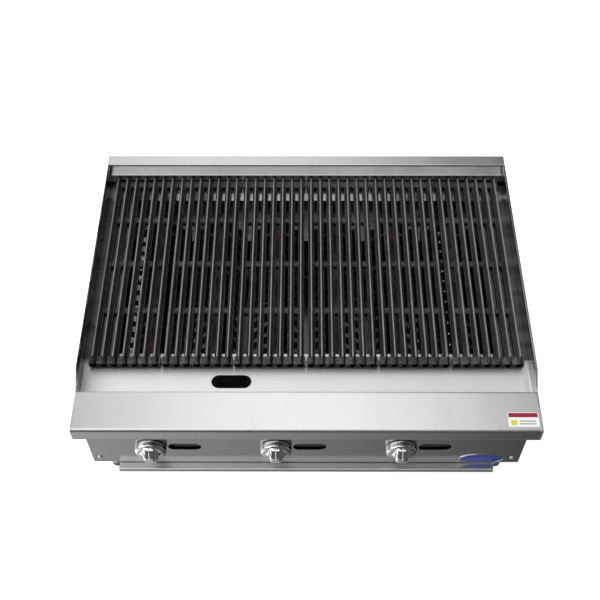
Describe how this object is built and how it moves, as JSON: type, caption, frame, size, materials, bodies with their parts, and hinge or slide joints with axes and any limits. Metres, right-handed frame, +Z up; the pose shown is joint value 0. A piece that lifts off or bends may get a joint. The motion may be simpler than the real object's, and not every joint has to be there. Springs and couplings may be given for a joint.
{
  "type": "countertop gas charbroiler",
  "caption": "Countertop gas charbroiler with lift-out cast grates over radiants, front shelf and grease trough, turning gas knobs and a slide-out drip tray.",
  "frame": {"origin": "middle of the bounding box's bottom, on the worktop under the feet", "axes": "+X to the right as the cook stands, +Y to the back, +Z up; the knobs face -Y"},
  "size_m": [0.9144, 0.731, 0.386],
  "materials": {
    "stainless": "fine brushed stainless sheet",
    "aluminised_steel": "satin aluminised sheet, heat dulled inside",
    "radiant_steel": "heat-darkened stainless sheet",
    "cast_burner": "as-cast, dull",
    "plated_steel": "zinc plated",
    "brass": "machined brass",
    "tube_aluminium": "soft drawn tube",
    "black_pipe": "black lacquered steel pipe",
    "chrome": "polished chrome plate",
    "leg_steel": "satin nickel plated",
    "foot_black": "moulded black",
    "grate_iron": "seasoned cast iron, ground ridges",
    "badge_blue": "blue enamel with a bright rim, blank",
    "label_print": "printed vinyl, plain blocks of colour"
  },
  "bodies": {
    "frame": {"left_side_panel": "stainless", "right_side_panel": "stainless", "rear_panel": "stainless", "rear_top_rail": "stainless", "front_shelf": "stainless", "grease_trough": "stainless", "grease_chute": "stainless", "control_panel": "stainless", "firebox_left_wall": "aluminised_steel", "firebox_right_wall": "aluminised_steel", "firebox_front_wall": "aluminised_steel", "firebox_rear_wall": "aluminised_steel", "radiant_rail_front": "aluminised_steel", "radiant_rail_rear": "aluminised_steel", "burner_rear_bracket": "aluminised_steel", "tray_runners": "aluminised_steel", "leg_plates": "aluminised_steel", "radiant_1": "radiant_steel", "radiant_2": "radiant_steel", "radiant_3": "radiant_steel", "radiant_4": "radiant_steel", "radiant_5": "radiant_steel", "radiant_6": "radiant_steel", "burner_1": "cast_burner", "burner_2": "cast_burner", "burner_3": "cast_burner", "leg_bolts": "plated_steel", "gas_valves": "brass", "orifice_hoods": "brass", "pilot_valves": "brass", "pilot_burners": "brass", "pilot_tubes": "tube_aluminium", "gas_manifold": "black_pipe", "manifold_elbow": "black_pipe", "gas_inlet_pipe": "black_pipe", "panel_screws": "chrome", "rear_screws": "chrome", "legs": "leg_steel", "badge": "badge_blue", "warning_plate": "label_print"},
    "knob_body_1": {"knob_1": "chrome", "valve_stem_1": "plated_steel"},
    "shutter_body_1": {"air_shutter_1": "plated_steel"},
    "knob_body_2": {"knob_2": "chrome", "valve_stem_2": "plated_steel"},
    "shutter_body_2": {"air_shutter_2": "plated_steel"},
    "knob_body_3": {"knob_3": "chrome", "valve_stem_3": "plated_steel"},
    "shutter_body_3": {"air_shutter_3": "plated_steel"},
    "grate_body_1": {"grate_1": "grate_iron"},
    "grate_body_2": {"grate_2": "grate_iron"},
    "grate_body_3": {"grate_3": "grate_iron"},
    "grate_body_4": {"grate_4": "grate_iron"},
    "grate_body_5": {"grate_5": "grate_iron"},
    "grate_body_6": {"grate_6": "grate_iron"},
    "tray_body": {"drip_tray": "stainless"},
    "foot_body_front_left": {"foot_front_left": "foot_black"},
    "foot_body_front_right": {"foot_front_right": "foot_black"},
    "foot_body_rear_left": {"foot_rear_left": "foot_black"},
    "foot_body_rear_right": {"foot_rear_right": "foot_black"}
  },
  "joints": [
    {"name": "knob_turn_1", "type": "hinge", "parent": "frame", "child": "knob_body_1", "pos_m": [-0.326, -0.3155, 0.187], "axis": [0, -1, 0], "range_deg": [0, 90]},
    {"name": "knob_turn_2", "type": "hinge", "parent": "frame", "child": "knob_body_2", "pos_m": [-0.063, -0.3155, 0.187], "axis": [0, -1, 0], "range_deg": [0, 90]},
    {"name": "knob_turn_3", "type": "hinge", "parent": "frame", "child": "knob_body_3", "pos_m": [0.2, -0.3155, 0.187], "axis": [0, -1, 0], "range_deg": [0, 90]},
    {"name": "air_shutter_turn_1", "type": "hinge", "parent": "frame", "child": "shutter_body_1", "pos_m": [-0.326, -0.2475, 0.187], "axis": [0, 1, 0], "range_deg": [0, 60]},
    {"name": "air_shutter_turn_2", "type": "hinge", "parent": "frame", "child": "shutter_body_2", "pos_m": [-0.063, -0.2475, 0.187], "axis": [0, 1, 0], "range_deg": [0, 60]},
    {"name": "air_shutter_turn_3", "type": "hinge", "parent": "frame", "child": "shutter_body_3", "pos_m": [0.2, -0.2475, 0.187], "axis": [0, 1, 0], "range_deg": [0, 60]},
    {"name": "grate_lift_1", "type": "slide", "parent": "frame", "child": "grate_body_1", "axis": [0, 0, 1], "range_m": [0, 0.1]},
    {"name": "grate_lift_2", "type": "slide", "parent": "frame", "child": "grate_body_2", "axis": [0, 0, 1], "range_m": [0, 0.1]},
    {"name": "grate_lift_3", "type": "slide", "parent": "frame", "child": "grate_body_3", "axis": [0, 0, 1], "range_m": [0, 0.1]},
    {"name": "grate_lift_4", "type": "slide", "parent": "frame", "child": "grate_body_4", "axis": [0, 0, 1], "range_m": [0, 0.1]},
    {"name": "grate_lift_5", "type": "slide", "parent": "frame", "child": "grate_body_5", "axis": [0, 0, 1], "range_m": [0, 0.1]},
    {"name": "grate_lift_6", "type": "slide", "parent": "frame", "child": "grate_body_6", "axis": [0, 0, 1], "range_m": [0, 0.1]},
    {"name": "drip_tray_slide", "type": "slide", "parent": "frame", "child": "tray_body", "axis": [0, -1, 0], "range_m": [0, 0.55]},
    {"name": "foot_screw_front_left", "type": "slide", "parent": "frame", "child": "foot_body_front_left", "axis": [0, 0, -1], "range_m": [0, 0.025]},
    {"name": "foot_screw_front_right", "type": "slide", "parent": "frame", "child": "foot_body_front_right", "axis": [0, 0, -1], "range_m": [0, 0.025]},
    {"name": "foot_screw_rear_left", "type": "slide", "parent": "frame", "child": "foot_body_rear_left", "axis": [0, 0, -1], "range_m": [0, 0.025]},
    {"name": "foot_screw_rear_right", "type": "slide", "parent": "frame", "child": "foot_body_rear_right", "axis": [0, 0, -1], "range_m": [0, 0.025]}
  ]
}
